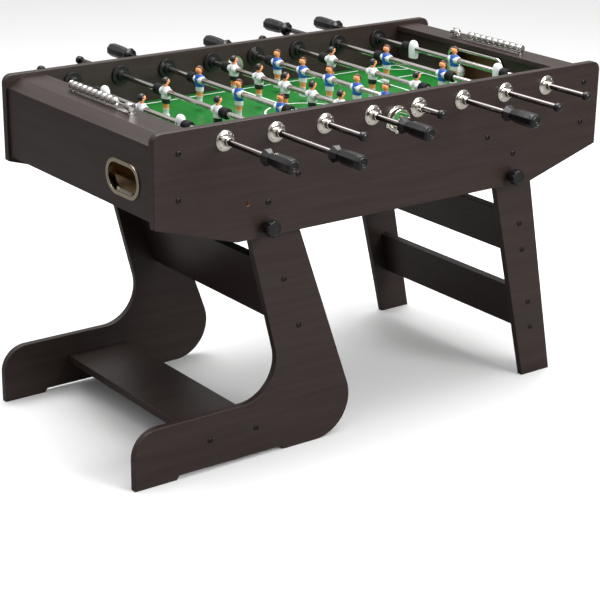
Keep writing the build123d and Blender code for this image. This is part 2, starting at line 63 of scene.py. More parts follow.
def makeActive(piece):
    deselectAll()
    piece.select_set(True)
    bpy.context.view_layer.objects.active = piece


def clearPicks(piece):
    # Makes the piece active with nothing selected in its mesh.
    makeActive(piece)
    mesh = piece.data
    for parts in (mesh.vertices, mesh.edges, mesh.polygons):
        parts.foreach_set("select", [False] * len(parts))
    return mesh


def pickFaces(piece, rule):
    # Leaves the piece in edit mode with only the faces selected that the rule takes.
    mesh = clearPicks(piece)
    for face in mesh.polygons:
        face.select = bool(rule(face.center, face.normal))
    bpy.ops.object.mode_set(mode="EDIT")
    bpy.ops.mesh.select_mode(type="FACE")


def closeUp(piece, angle=35):
    # Merges doubles, points the faces outwards and smooths what bends gently.
    makeActive(piece)
    bpy.ops.object.mode_set(mode="EDIT")
    bpy.ops.mesh.select_all(action="SELECT")
    bpy.ops.mesh.remove_doubles(threshold=1e-6)
    bpy.ops.mesh.normals_make_consistent(inside=False)
    bpy.ops.object.mode_set(mode="OBJECT")
    bpy.ops.object.shade_smooth_by_angle(angle=math.radians(angle))
    return piece


def addModifier(piece, kind, **values):
    makeActive(piece)
    modifier = piece.modifiers.new(kind.title(), kind)
    for name, value in values.items():
        setattr(modifier, name, value)
    bpy.ops.object.modifier_apply(modifier=modifier.name)


def bevelEdges(piece, width, segments=2, angle=40):
    addModifier(piece, "BEVEL", width=width, segments=segments, limit_method="ANGLE",
                angle_limit=math.radians(angle), use_clamp_overlap=False)
    return piece


def startRing(name, radius, sides, filled, turn, place):
    deselectAll()
    bpy.ops.mesh.primitive_circle_add(vertices=sides, radius=radius, location=place, rotation=turn,
                                      fill_type="NGON" if filled else "NOTHING")
    piece = bpy.context.object
    piece.name = piece.data.name = name
    bpy.ops.object.transform_apply(location=True, rotation=True, scale=True)
    bpy.ops.object.mode_set(mode="EDIT")
    bpy.ops.mesh.select_mode(type="FACE" if filled else "EDGE")
    bpy.ops.mesh.select_all(action="SELECT")
    return piece


def turnedPiece(name, steps, sides=32, hollow=False, twist=0.0):
    # A round piece along Y about the origin: (y, radius) steps, joined back to the first if hollow.
    y, radius = steps[0]
    piece = startRing(name, radius, sides, not hollow, (math.pi / 2, twist, 0), (0, y, 0))
    path = list(steps[1:]) + ([steps[0]] if hollow else [])
    for nextY, nextRadius in path:
        bpy.ops.mesh.extrude_region_move(TRANSFORM_OT_translate={"value": (0, nextY - y, 0)})
        grow = nextRadius / radius
        bpy.ops.transform.resize(value=(grow, 1, grow), center_override=(0, nextY, 0))
        y, radius = nextY, nextRadius
    bpy.ops.object.mode_set(mode="OBJECT")
    return closeUp(piece)


def inMetres(profile):
    return [tuple(value * mm for value in step) for step in profile]


def stackedPiece(name, rings, sides=16):
    # A standing piece: (z, half depth, half width, forward) rings, joined upwards and closed at both ends.
    z, depth, width, forward = rings[0]
    piece = startRing(name, 1, sides, True, (0, 0, math.pi / sides), (0, 0, 0))
    bpy.ops.transform.resize(value=(depth, width, 1))
    bpy.ops.transform.translate(value=(forward, 0, z))
    for nextZ, nextDepth, nextWidth, nextForward in rings[1:]:
        step = (nextForward - forward, 0, nextZ - z)
        bpy.ops.mesh.extrude_region_move(TRANSFORM_OT_translate={"value": step})
        bpy.ops.transform.resize(value=(nextDepth / depth, nextWidth / width, 1),
                                 center_override=(nextForward, 0, nextZ))
        z, depth, width, forward = nextZ, nextDepth, nextWidth, nextForward
    bpy.ops.object.mode_set(mode="OBJECT")
    return closeUp(piece, 50)


def beveledBlock(name, low, high, width=0.0004, segments=2):
    # A block between two corners with its edges rounded.
    deselectAll()
    bpy.ops.mesh.primitive_cube_add(size=1, location=(Vector(low) + Vector(high)) / 2)
    piece = bpy.context.object
    piece.name = piece.data.name = name
    piece.scale = Vector(high) - Vector(low)
    bpy.ops.object.transform_apply(location=True, rotation=True, scale=True)
    bevelEdges(piece, width, segments)
    return closeUp(piece)


def moved(x=0, y=0, z=0):
    return Matrix.Translation((x, y, z))


def copyOf(piece, name, change):
    # A copy with its own mesh, placed by a matrix; a mirrored copy is turned right side out.
    twin = piece.copy()
    twin.data = piece.data.copy()
    twin.name = twin.data.name = name
    bpy.context.scene.collection.objects.link(twin)
    twin.data.transform(change)
    if change.determinant() < 0:
        twin.data.flip_normals()
    return twin


def joined(name, pieces):
    makeActive(pieces[0])
    for piece in pieces:
        piece.select_set(True)
    if len(pieces) > 1:
        bpy.ops.object.join()
    piece = bpy.context.object
    piece.name = piece.data.name = name
    return piece


def discard(*pieces):
    for piece in pieces:
        bpy.data.objects.remove(piece)


def paint(piece, material):
    piece.data.materials.clear()
    piece.data.materials.append(material)
    return piece


def paintFaces(piece, materials, choose):
    # Several materials on one piece: choose gives each face's material by its place and normal.
    piece.data.materials.clear()
    for material in materials:
        piece.data.materials.append(material)
    for face in piece.data.polygons:
        face.material_index = choose(face.center, face.normal)
    return piece


def settle(piece, body, slot, *nodes):
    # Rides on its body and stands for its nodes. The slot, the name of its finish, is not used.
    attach(piece, body)
    if nodes:
        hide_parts(*nodes)
    return piece


def newGroup(name, inputs, outputs):
    group = bpy.data.node_groups.new(name, "ShaderNodeTree")
    for label, kind, value in inputs:
        socket = group.interface.new_socket(name=label, in_out="INPUT", socket_type="NodeSocket" + kind)
        if value is not None:
            socket.default_value = value
    for label, kind in outputs:
        group.interface.new_socket(name=label, in_out="OUTPUT", socket_type="NodeSocket" + kind)
    return group, group.nodes.new("NodeGroupInput"), group.nodes.new("NodeGroupOutput")


def mathNode(tree, operation, first, second):
    node = tree.nodes.new("ShaderNodeMath")
    node.operation = operation
    for index, value in enumerate((first, second)):
        if isinstance(value, (int, float)):
            node.inputs[index].default_value = value
        else:
            tree.links.new(value, node.inputs[index])
    return node.outputs[0]


def noiseNode(tree, vector, scale, detail=4.0, roughness=0.55):
    node = tree.nodes.new("ShaderNodeTexNoise")
    tree.links.new(vector, node.inputs["Vector"])
    if isinstance(scale, (int, float)):
        node.inputs["Scale"].default_value = scale
    else:
        tree.links.new(scale, node.inputs["Scale"])
    node.inputs["Detail"].default_value = detail
    node.inputs["Roughness"].default_value = roughness
    return node.outputs["Fac"]


def rampNode(tree, value, low, high):
    # Spreads the stretch from low to high over 0 to 1.
    node = tree.nodes.new("ShaderNodeMapRange")
    tree.links.new(value, node.inputs["Value"])
    node.inputs["From Min"].default_value = low
    node.inputs["From Max"].default_value = high
    return node.outputs["Result"]


def makeGrain():
    # Stretched streaks along the board with fine pores between them.
    group, start, end = newGroup(
        "woodGrain",
        [("Vector", "Vector", None), ("Scale", "Float", 60.0), ("Stretch", "Float", 0.08)],
        [("Streaks", "Float"), ("Pores", "Float")])
    squeeze = group.nodes.new("ShaderNodeCombineXYZ")
    group.links.new(start.outputs["Stretch"], squeeze.inputs["X"])
    squeeze.inputs["Y"].default_value = 1
    squeeze.inputs["Z"].default_value = 1
    product = group.nodes.new("ShaderNodeVectorMath")
    product.operation = "MULTIPLY"
    group.links.new(start.outputs["Vector"], product.inputs[0])
    group.links.new(squeeze.outputs[0], product.inputs[1])
    vector = product.outputs[0]
    streaks = noiseNode(group, vector, start.outputs["Scale"], 6, 0.6)
    pores = noiseNode(group, vector, mathNode(group, "MULTIPLY", start.outputs["Scale"], 6.0), 2, 0.5)
    group.links.new(rampNode(group, streaks, 0.3, 0.7), end.inputs["Streaks"])
    group.links.new(rampNode(group, pores, 0.45, 0.65), end.inputs["Pores"])
    return group


def makeWear():
    # Faint smudges and specks of dust for handled surfaces.
    group, start, end = newGroup(
        "handlingWear",
        [("Vector", "Vector", None), ("Scale", "Float", 12.0)],
        [("Smudge", "Float"), ("Specks", "Float")])
    vector = start.outputs["Vector"]
    smudge = noiseNode(group, vector, start.outputs["Scale"], 3, 0.5)
    specks = noiseNode(group, vector, mathNode(group, "MULTIPLY", start.outputs["Scale"], 90.0), 1, 0.5)
    group.links.new(rampNode(group, smudge, 0.35, 0.75), end.inputs["Smudge"])
    group.links.new(rampNode(group, specks, 0.62, 0.72), end.inputs["Specks"])
    return group


grainGroup = makeGrain()
wearGroup = makeWear()


def newMaterial(name):
    material = bpy.data.materials.new(name)
    material.use_nodes = True
    tree = material.node_tree
    shader = tree.nodes["Principled BSDF"]
    place = tree.nodes.new("ShaderNodeTexCoord").outputs["Object"]
    return material, tree, shader, place


def groupNode(tree, group, place, **values):
    node = tree.nodes.new("ShaderNodeGroup")
    node.node_tree = group
    tree.links.new(place, node.inputs["Vector"])
    for name, value in values.items():
        node.inputs[name].default_value = value
    return node


def mixColours(tree, amount, first, second):
    node = tree.nodes.new("ShaderNodeMix")
    node.data_type = "RGBA"
    if isinstance(amount, (int, float)):
        node.inputs["Factor"].default_value = amount
    else:
        tree.links.new(amount, node.inputs["Factor"])
    for socket, value in ((node.inputs[6], first), (node.inputs[7], second)):
        if isinstance(value, tuple):
            socket.default_value = (*value, 1)
        else:
            tree.links.new(value, socket)
    return node.outputs[2]


def addBump(tree, shader, height, strength, distance):
    node = tree.nodes.new("ShaderNodeBump")
    node.inputs["Strength"].default_value = strength
    node.inputs["Distance"].default_value = distance
    tree.links.new(height, node.inputs["Height"])
    tree.links.new(node.outputs["Normal"], shader.inputs["Normal"])


def addGloss(tree, shader, wear, rough, vary):
    # Roughness that rises where the surface is smudged.
    smudged = mathNode(tree, "MULTIPLY", wear.outputs["Smudge"], vary)
    tree.links.new(mathNode(tree, "ADD", smudged, rough), shader.inputs["Roughness"])


def boardMaterial(name, values, turn=0.0):
    # Printed or bare board: two tones of grain along X unless turned, and a bump from its pores.
    material, tree, shader, place = newMaterial(name)
    mapping = tree.nodes.new("ShaderNodeMapping")
    mapping.inputs["Rotation"].default_value = (0, 0, turn)
    tree.links.new(place, mapping.inputs["Vector"])
    grain = groupNode(tree, grainGroup, mapping.outputs[0], Scale=values["grainScale"],
                      Stretch=values["stretch"])
    wear = groupNode(tree, wearGroup, place, Scale=values["wearScale"])
    toned = mixColours(tree, grain.outputs["Streaks"], values["dark"], values["light"])
    dusty = mathNode(tree, "MULTIPLY", wear.outputs["Specks"], values["dust"])
    tree.links.new(mixColours(tree, dusty, toned, values["dustColour"]), shader.inputs["Base Color"])
    addGloss(tree, shader, wear, values["rough"], values["roughVary"])
    shader.inputs["Specular IOR Level"].default_value = values["shine"]
    addBump(tree, shader, grain.outputs["Pores"], values["bump"], 0.0002)
    return material


skinValues = {"plasticWear": 30.0, "plasticGrain": 1400, "plasticVary": 0.12, "metalWear": 22.0,
              "metalGrain": 300, "dulled": 0.86}


def plasticMaterial(name, colour, rough=0.35, grainBump=0.08, shine=0.5, coat=0.0, vary=0.12):
    # Moulded or painted plastic: a slight drift of tone, smudges in the gloss and a fine moulded skin.
    material, tree, shader, place = newMaterial(name)
    wear = groupNode(tree, wearGroup, place, Scale=skinValues["plasticWear"])
    faded = tuple(min(1, channel * (1 + vary) + 0.003) for channel in colour)
    tree.links.new(mixColours(tree, wear.outputs["Smudge"], colour, faded), shader.inputs["Base Color"])
    addGloss(tree, shader, wear, rough, skinValues["plasticVary"])
    shader.inputs["Specular IOR Level"].default_value = shine
    shader.inputs["Coat Weight"].default_value = coat
    addBump(tree, shader, noiseNode(tree, place, skinValues["plasticGrain"], 2), grainBump, 0.0001)
    return material


def metalMaterial(name, colour, rough=0.08, vary=0.1, bump=0.02):
    # Plated metal with fingerprints that dull it here and there.
    material, tree, shader, place = newMaterial(name)
    wear = groupNode(tree, wearGroup, place, Scale=skinValues["metalWear"])
    dull = tuple(channel * skinValues["dulled"] for channel in colour)
    tree.links.new(mixColours(tree, wear.outputs["Smudge"], colour, dull), shader.inputs["Base Color"])
    addGloss(tree, shader, wear, rough, vary)
    shader.inputs["Metallic"].default_value = 1
    addBump(tree, shader, noiseNode(tree, place, skinValues["metalGrain"], 2), bump, 0.0001)
    return material


boardValues = {
    "laminate": {"dark": (0.022, 0.0125, 0.0105), "light": (0.034, 0.0215, 0.0190), "grainScale": 70.0,
                 "stretch": 0.06, "wearScale": 5.0, "dust": 0.10, "dustColour": (0.11, 0.085, 0.075),
                 "rough": 0.34, "roughVary": 0.10, "shine": 0.38, "bump": 0.25},
    "bareBoard": {"dark": (0.33, 0.19, 0.09), "light": (0.50, 0.32, 0.17), "grainScale": 220.0,
                  "stretch": 0.8, "wearScale": 9.0, "dust": 0.25, "dustColour": (0.62, 0.45, 0.27),
                  "rough": 0.72, "roughVary": 0.12, "shine": 0.3, "bump": 0.5},
}
laminate = boardMaterial("darkLaminate", boardValues["laminate"])
crossLaminate = boardMaterial("darkLaminateAcross", boardValues["laminate"], math.pi / 2)
bareBoard = boardMaterial("bareFibreboard", boardValues["bareBoard"])
chrome = metalMaterial("brightChrome", (0.80, 0.76, 0.69))
rimBrass = metalMaterial("rimBrass", (0.50, 0.44, 0.33), rough=0.14)
nickel = metalMaterial("screwNickel", (0.55, 0.54, 0.52), rough=0.22)
blackSteel = metalMaterial("blackBoltSteel", (0.045, 0.042, 0.042), rough=0.34)
beadShine = metalMaterial("beadSilver", (0.62, 0.60, 0.58), rough=0.10)
blackPlastic = plasticMaterial("blackMoulding", (0.006, 0.0055, 0.0055), rough=0.30, shine=0.4)
gripPlastic = plasticMaterial("gripBlack", (0.004, 0.0035, 0.0035), rough=0.2, grainBump=0.1, shine=0.5)
bumperRubber = plasticMaterial("bumperRubber", (0.008, 0.008, 0.008), rough=0.6, grainBump=0.3, shine=0.3)
counterSilver = metalMaterial("counterSilver", (0.58, 0.56, 0.54), rough=0.2)
ballWhite = plasticMaterial("ballWhite", (0.80, 0.79, 0.77), rough=0.3, vary=0.03)
skin = plasticMaterial("paintedSkin", (0.86, 0.33, 0.12), rough=0.32)
hairBlack = plasticMaterial("paintedHairBlack", (0.012, 0.011, 0.013), rough=0.22)
hairBrown = plasticMaterial("paintedHairBrown", (0.07, 0.022, 0.012), rough=0.25)
shirtWhite = plasticMaterial("paintedShirtWhite", (0.80, 0.81, 0.83), rough=0.28, vary=0.03)
shirtBlue = plasticMaterial("paintedShirtBlue", (0.012, 0.115, 0.52), rough=0.28)
shortsBlack = plasticMaterial("paintedShortsBlack", (0.014, 0.013, 0.014), rough=0.3)
eyeInk = plasticMaterial("paintedEye", (0.02, 0.012, 0.01), rough=0.3)


def rodMaterial():
    # Plated tube: bright in the middle, darker towards the ends that stand outside the cabinet, as a painted
    # reflection of the dark surroundings there.
    values = {"bright": (0.60, 0.58, 0.55), "dark": (0.17, 0.155, 0.15), "from": 0.285, "to": 0.305,
              "rough": 0.1, "roughVary": 0.1, "wearScale": 26.0}
    material, tree, shader, place = newMaterial("rodPlating")
    split = tree.nodes.new("ShaderNodeSeparateXYZ")
    tree.links.new(place, split.inputs[0])
    outsideReflectionShare = rampNode(tree, mathNode(tree, "ABSOLUTE", split.outputs["Y"], 0), values["from"], values["to"])
    wear = groupNode(tree, wearGroup, place, Scale=values["wearScale"])
    tree.links.new(mixColours(tree, outsideReflectionShare, values["bright"], values["dark"]), shader.inputs["Base Color"])
    addGloss(tree, shader, wear, values["rough"], values["roughVary"])
    shader.inputs["Metallic"].default_value = 1
    return material


def lineMask(tree, value, centre, half):
    # 1 within half of the centre, with a soft edge of a quarter of a millimetre.
    distance = mathNode(tree, "ABSOLUTE", mathNode(tree, "SUBTRACT", value, centre), 0)
    return rampNode(tree, distance, half + 0.00025, half - 0.00025)


def fieldMaterial():
    # A printed green pitch with a halfway line, a centre circle, penalty areas and corner arcs.
    values = {"grass": (0.004, 0.115, 0.012), "mown": (0.006, 0.150, 0.018), "line": (0.72, 0.76, 0.72),
              "half": 0.0025, "circle": 0.095, "edgeX": 0.485, "edgeY": 0.275, "areaX": 0.335,
              "areaY": 0.165, "corner": 0.05, "stripe": 0.0625, "stripeEdge": (0.030, 0.0325),
              "worn": (0.02, 0.20, 0.03), "wearScale": 8.0, "wornShare": 0.25, "grainScale": 900,
              "bump": 0.05, "rough": 0.34, "roughVary": 0.12, "shine": 0.28}
    low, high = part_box("playfield")
    material, tree, shader, place = newMaterial("printedPitch")
    shift = tree.nodes.new("ShaderNodeMapping")
    shift.inputs["Location"].default_value = -(low + high) / 2
    tree.links.new(place, shift.inputs["Vector"])
    split = tree.nodes.new("ShaderNodeSeparateXYZ")
    tree.links.new(shift.outputs[0], split.inputs[0])
    x, y = split.outputs["X"], split.outputs["Y"]
    farX = mathNode(tree, "ABSOLUTE", x, 0)
    farY = mathNode(tree, "ABSOLUTE", y, 0)

    def radius(fromX, fromY):
        squares = mathNode(tree, "ADD", mathNode(tree, "MULTIPLY", fromX, fromX),
                           mathNode(tree, "MULTIPLY", fromY, fromY))
        return mathNode(tree, "SQRT", squares, 0)

    def within(value, limit):
        return mathNode(tree, "LESS_THAN", value, limit)

    def both(first, second):
        return mathNode(tree, "MULTIPLY", first, second)

    half = values["half"]
    edgeX, edgeY = values["edgeX"], values["edgeY"]
    areaX, areaY = values["areaX"], values["areaY"]
    inField = both(within(farX, edgeX + half), within(farY, edgeY + half))
    cornerRadius = radius(mathNode(tree, "SUBTRACT", farX, edgeX), mathNode(tree, "SUBTRACT", farY, edgeY))
    lines = [
        both(lineMask(tree, x, 0, half), inField),
        lineMask(tree, radius(x, y), values["circle"], half),
        both(lineMask(tree, farX, edgeX, half), inField),
        both(lineMask(tree, farY, edgeY, half), inField),
        both(both(lineMask(tree, farX, areaX, half), within(farY, areaY)), inField),
        both(both(lineMask(tree, farY, areaY, half), mathNode(tree, "GREATER_THAN", farX, areaX)), inField),
        both(lineMask(tree, cornerRadius, values["corner"], half), inField),
    ]
    mask = lines[0]
    for line in lines[1:]:
        mask = mathNode(tree, "MAXIMUM", mask, line)
    wear = groupNode(tree, wearGroup, place, Scale=values["wearScale"])
    stripes = mathNode(tree, "PINGPONG", mathNode(tree, "ADD", x, 2.0), values["stripe"])
    mown = rampNode(tree, stripes, *values["stripeEdge"])
    grass = mixColours(tree, mown, values["grass"], values["mown"])
    faded = mathNode(tree, "MULTIPLY", wear.outputs["Smudge"], values["wornShare"])
    worn = mixColours(tree, faded, grass, values["worn"])
    tree.links.new(mixColours(tree, mask, worn, values["line"]), shader.inputs["Base Color"])
    addGloss(tree, shader, wear, values["rough"], values["roughVary"])
    shader.inputs["Specular IOR Level"].default_value = values["shine"]
    addBump(tree, shader, noiseNode(tree, place, values["grainScale"], 2), values["bump"], 0.0001)
    return material


rodPlating = rodMaterial()
pitch = fieldMaterial()
print("materials made:", len(bpy.data.materials))


boards = {
    "side_panel_front": ("cabinet", laminate, 1.0), "side_panel_back": ("cabinet", laminate, 1.0),
    "end_panels": ("cabinet", crossLaminate, 0.8), "top_caps": ("cabinet", crossLaminate, 0.8),
    "goal_walls": ("cabinet", crossLaminate, 0.6), "playfield": ("cabinet", pitch, 0.2),
    "playfield_bars": ("cabinet", laminate, 0.6), "ball_trays": ("cabinet", bareBoard, 0.5),
    "ball_return_rims": ("cabinet", rimBrass, 1.4), "goal_frames": ("cabinet", chrome, 0),
    "bearing_flanges": ("cabinet", blackPlastic, 0.8),
    "curved_legs": ("fold_frame", laminate, 0.9), "fold_shelf": ("fold_frame", laminate, 0.9),
    "fold_crossboard": ("fold_frame", laminate, 0.9), "splay_legs": ("splay_frame", laminate, 0.9),
    "splay_rails": ("splay_frame", laminate, 0.9),
}
slotOf = {entry["node"]: entry["material_slot"] for entry in frame["record"]["subparts"]}


edgeValues = {
    "flatFrom": 2e-4,  # a face of two square centimetres or more is the flat of a board
    "merge": 1e-6, "flatten": math.radians(0.5), "sharp": math.radians(40), "smooth": math.radians(32),
    "holeReach": 26, "lockRadius": 6, "lockHoles": ((-334, 528.5), (343, 528.5), (-381.5, 584)),
}
centreX = (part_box("side_panel_front")[0].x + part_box("side_panel_front")[1].x) / 2
feederMiddle = (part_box("ball_feeders")[0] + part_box("ball_feeders")[1]) / 2


def fromCentre(places):
    # Places in millimetres from the cabinet's middle, in the shared frame.
    return [(centreX + x * mm, z * mm) for x, z in places]


lockPlaces = fromCentre(edgeValues["lockHoles"])
drilled = [(joint["pos_m"][0], joint["pos_m"][2]) for joint in joints.values() if joint["type"] == "hinge"]
drilled += lockPlaces + [(feederMiddle.x, feederMiddle.z)]


def nearest(point, places):
    return min(math.hypot(point.x - x, point.z - z) for x, z in places)


def roundEdges(piece, width, spareHoles):
    # Rounds the sharp edges; those of drilled holes can be spared, as other parts cover them.
    mesh = clearPicks(piece)
    normals = {}
    for face in mesh.polygons:
        for key in face.edge_keys:
            normals.setdefault(key, []).append(face.normal.copy())
    for edge in mesh.edges:
        pair = normals[edge.key]
        middle = (mesh.vertices[edge.vertices[0]].co + mesh.vertices[edge.vertices[1]].co) / 2
        inHole = spareHoles and nearest(middle, drilled) < edgeValues["holeReach"] * mm
        edge.select = not inHole and len(pair) == 2 and pair[0].angle(pair[1]) > edgeValues["sharp"]
    bpy.ops.object.mode_set(mode="EDIT")
    bpy.ops.mesh.select_mode(type="EDGE")
    bpy.ops.mesh.bevel(offset=width, segments=2, affect="EDGES", clamp_overlap=False, loop_slide=False)
    bpy.ops.object.mode_set(mode="OBJECT")


def softened(nodeName, body, material, width, flatFrom=edgeValues["flatFrom"]):
    # A copy of a CAD node with its edges rounded and its board faces kept flat.
    node = frame["nodes"][nodeName]
    piece = node.copy()
    piece.data = node.data.copy()
    for key in list(piece.keys()):
        del piece[key]
    piece.parent = None
    words = nodeName.split("_")
    piece.name = piece.data.name = words[0] + "".join(word.title() for word in words[1:])
    bpy.context.scene.collection.objects.link(piece)
    makeActive(piece)
    bpy.ops.mesh.customdata_custom_splitnormals_clear()
    bpy.ops.object.mode_set(mode="EDIT")
    bpy.ops.mesh.select_all(action="SELECT")
    bpy.ops.mesh.remove_doubles(threshold=edgeValues["merge"])
    bpy.ops.mesh.dissolve_limited(angle_limit=edgeValues["flatten"])
    bpy.ops.object.mode_set(mode="OBJECT")
    if width:
        roundEdges(piece, width * mm, "panel" in nodeName or "legs" in nodeName)
    makeActive(piece)
    bpy.ops.object.shade_smooth_by_angle(angle=edgeValues["smooth"])
    for face in piece.data.polygons:
        face.use_smooth = face.area < flatFrom
    paint(piece, material)
    return settle(piece, body, slotOf[nodeName], nodeName)


def bareInside(centre, normal):
    # The drilled walls of the locking holes show the board's bare core.
    return int(abs(normal.y) < 0.5 and nearest(centre, lockPlaces) < edgeValues["lockRadius"] * mm)


def bareInwards(centre, normal):
    # The faces turned to the middle of the cabinet are unprinted.
    return int(normal.x * (centreX - centre.x) > 0.9 * abs(centreX - centre.x))


for nodeName, (body, material, width) in boards.items():
    piece = softened(nodeName, body, material, width)
    if nodeName.startswith("side_panel"):
        paintFaces(piece, [laminate, bareBoard], bareInside)
    if nodeName == "end_panels":
        paintFaces(piece, [crossLaminate, bareBoard], bareInwards)
for number in rodNumbers:
    softened(f"rod_{number}", f"rod_spinner_{number}", rodPlating, 0.6, 1)
    softened(f"bumpers_{number}", f"rod_slider_{number}", bumperRubber, 0.3, 1)
print("boards and tubes softened")


rodHeight = joints["rod_1_spin"]["pos_m"][2]
rodX = {number: joints[f"rod_{number}_spin"]["pos_m"][0] for number in rodNumbers}
menOf = {1: (0,), 2: (-103, 103), 3: (-158, 0, 158), 4: (-204, -102, 0, 102, 204)}
menOf.update({9 - number: places for number, places in menOf.items()})
stopsOf = {1: (-153, 153), 8: (-153, 153)}
whiteRods = (1, 2, 4, 6)


manValues = {
    "rings": ((-59, 6.6, 9.6, 1.4), (-58, 7.4, 10.2, 1.4), (-52, 7.2, 10.2, 1.0), (-49.5, 5.6, 8.6, 0.2),
              (-48.8, 5.2, 8.3, 0), (-39, 5.8, 8.6, 0), (-38.4, 6.3, 9.2, 0), (-37, 6.3, 9.2, 0),
              (-36.6, 5.6, 8.6, 0), (-31, 6.4, 9.2, 0), (-26, 6.8, 9.8, 0), (-25.6, 8.2, 11.6, 0),
              (-24.6, 8.6, 12.0, 0), (-15, 8.4, 11.4, 0), (-14.8, 9.2, 12.6, 0), (-13.6, 9.6, 13.0, 0),
              (-6, 9.4, 12.6, 0), (4, 9.6, 13.6, 0), (9, 8.6, 13.2, 0), (11.6, 6.6, 10.4, 0),
              (12.6, 4.6, 6.0, 0), (13.2, 4.0, 4.4, 0), (17, 3.8, 4.2, 0)),
    "sock": -37.5, "knee": -25.8, "shorts": -14.9, "shirt": 12.7,
    "sleeve": ((-17, 7.2), (-16.4, 8.2), (-12, 9.4), (-6, 9.9), (6, 9.9), (12, 9.4), (16.4, 8.2), (17, 7.2)),
    "head": 9.6, "headDepth": 0.95, "headWidth": 0.90, "headUp": 22.7, "headForward": 0.4,
    "hairTop": 5.2, "hairBack": (-1.2, -4.5), "hairSide": (1.6, 1.0), "hairProud": 0.7,
    "jaw": (0.86, 0.80, 1), "jawFrom": 0.8, "jawBelow": -0.45,
    "noseFrom": 8, "noseHalf": 1.6, "noseSpan": (-2.6, 0.6), "noseMove": (1.1, 0, -0.5),
    "noseTaper": (1, 0.55, 0.6),
    "eye": ((-0.5, 0.3), (-0.3, 0.8), (0.3, 0.8), (0.5, 0.3)), "eyePlace": (8.7, 3.0, 1.4),
    "dot": ((-0.5, 1.2), (-0.2, 1.7), (0.3, 1.7), (0.4, 1.4)), "dotPlace": (-10.0, 0, 2), "chestShift": -4,
    "sleeveFrom": 8, "edge": 0.25,
}


def makeMan(name, hair, shirt, sleeve, shorts, sock, mark):
    # One figure about the rod's axis, facing +X.
    values = manValues
    body = stackedPiece(name + "Body", inMetres(values["rings"]), 16)
    bevelEdges(body, values["edge"] * mm, 1, 60)

    def bodyColour(centre, normal):
        height = centre.z / mm
        if height < values["sock"]:
            return 0
        if height < values["knee"]:
            return 1
        if height < values["shorts"]:
            return 2
        return 3 if height < values["shirt"] else 1

    paintFaces(body, [sock, skin, shorts, shirt], bodyColour)
    arms = turnedPiece(name + "Arms", inMetres(values["sleeve"]), 20)
    cuff = values["sleeveFrom"] * mm
    # The arms' end faces are painted black: a ring of painted shade round the rod, for the gap in its hole.
    paintFaces(arms, [shirt, sleeve, blackPlastic],
               lambda centre, normal: 2 if abs(normal.y) > 0.9 else int(abs(centre.y) > cuff))
    deselectAll()
    bpy.ops.mesh.primitive_uv_sphere_add(segments=20, ring_count=14, radius=values["head"] * mm,
                                         location=(values["headForward"] * mm, 0, values["headUp"] * mm))
    head = bpy.context.object
    head.scale = (values["headDepth"], values["headWidth"], 1)
    bpy.ops.object.transform_apply(location=True, rotation=True, scale=True)
    low = values["headUp"] * mm

    def hairy(centre, normal):
        up, forward = (centre.z - low) / mm, centre.x / mm
        sides = (values["hairBack"], values["hairSide"])
        return up > values["hairTop"] or any(forward < limit and up > height for limit, height in sides)

    # The hair stands proud of the head, the jaw narrows and the nose is drawn out.
    pickFaces(head, hairy)
    bpy.ops.mesh.extrude_region_shrink_fatten(TRANSFORM_OT_shrink_fatten={"value": values["hairProud"] * mm})
    bpy.ops.object.mode_set(mode="OBJECT")
    pickFaces(head, lambda centre, normal: normal.z < values["jawBelow"])
    bpy.ops.transform.resize(value=values["jaw"], center_override=(values["jawFrom"] * mm, 0, low))
    bpy.ops.object.mode_set(mode="OBJECT")
    noseLow, noseHigh = (value * mm for value in values["noseSpan"])
    pickFaces(head, lambda centre, normal: centre.x > values["noseFrom"] * mm
              and abs(centre.y) < values["noseHalf"] * mm and noseLow < centre.z - low < noseHigh)
    noseMove = tuple(value * mm for value in values["noseMove"])
    bpy.ops.mesh.extrude_region_move(TRANSFORM_OT_translate={"value": noseMove})
    bpy.ops.transform.resize(value=values["noseTaper"])
    bpy.ops.object.mode_set(mode="OBJECT")

    paintFaces(head, [skin, hair], lambda centre, normal: int(hairy(centre, normal)))
    closeUp(head, 50)
    parts = [body, arms, head]
    eyeX, eyeY, eyeUp = values["eyePlace"]
    for side in (-1, 1):
        eye = turnedPiece(name + "Eye", inMetres(values["eye"]), 8)
        eye.data.transform(moved(eyeX * mm, side * eyeY * mm, low + eyeUp * mm) @ quarterTurn)
        parts.append(paint(eye, eyeInk))
    dot = turnedPiece(name + "BackDot", inMetres(values["dot"]), 12)
    dot.data.transform(moved(*(value * mm for value in values["dotPlace"])) @ quarterTurn)
    parts.append(paint(dot, mark))
    parts.append(copyOf(dot, name + "ChestDot", halfTurn @ moved(0, values["chestShift"] * mm, 0)))
    return joined(name, parts)


stopValues = {
    "rings": ((-24, 7.5, 11.5, 0), (-23, 9.2, 13.6, 0), (-14, 9.8, 14.6, 0), (2, 10, 15, 0),
              (10, 9.2, 14, 0), (15, 7.4, 11.4, 0), (18, 5.2, 8.0, 0), (19.5, 2.8, 4.2, 0),
              (20, 1.2, 1.8, 0)),
    "dimple": ((-0.3, 1.5), (0.2, 2.2), (0.3, 2.0)), "dimplePlace": (-10.0, 0, 2),
}


def makeStop(name):
    # The headless torso that widens the goalkeeper's reach, with a black disc on its back: painted shade for its
    # small hole.
    torso = paint(stackedPiece(name, inMetres(stopValues["rings"]), 20), shirtWhite)
    # A small black disc of painted shade where the torso's hole is.
    dimple = turnedPiece(name + "Dimple", inMetres(stopValues["dimple"]), 14)
    dimple.data.transform(moved(*(value * mm for value in stopValues["dimplePlace"])) @ quarterTurn)
    return joined(name, [torso, paint(dimple, blackPlastic)])


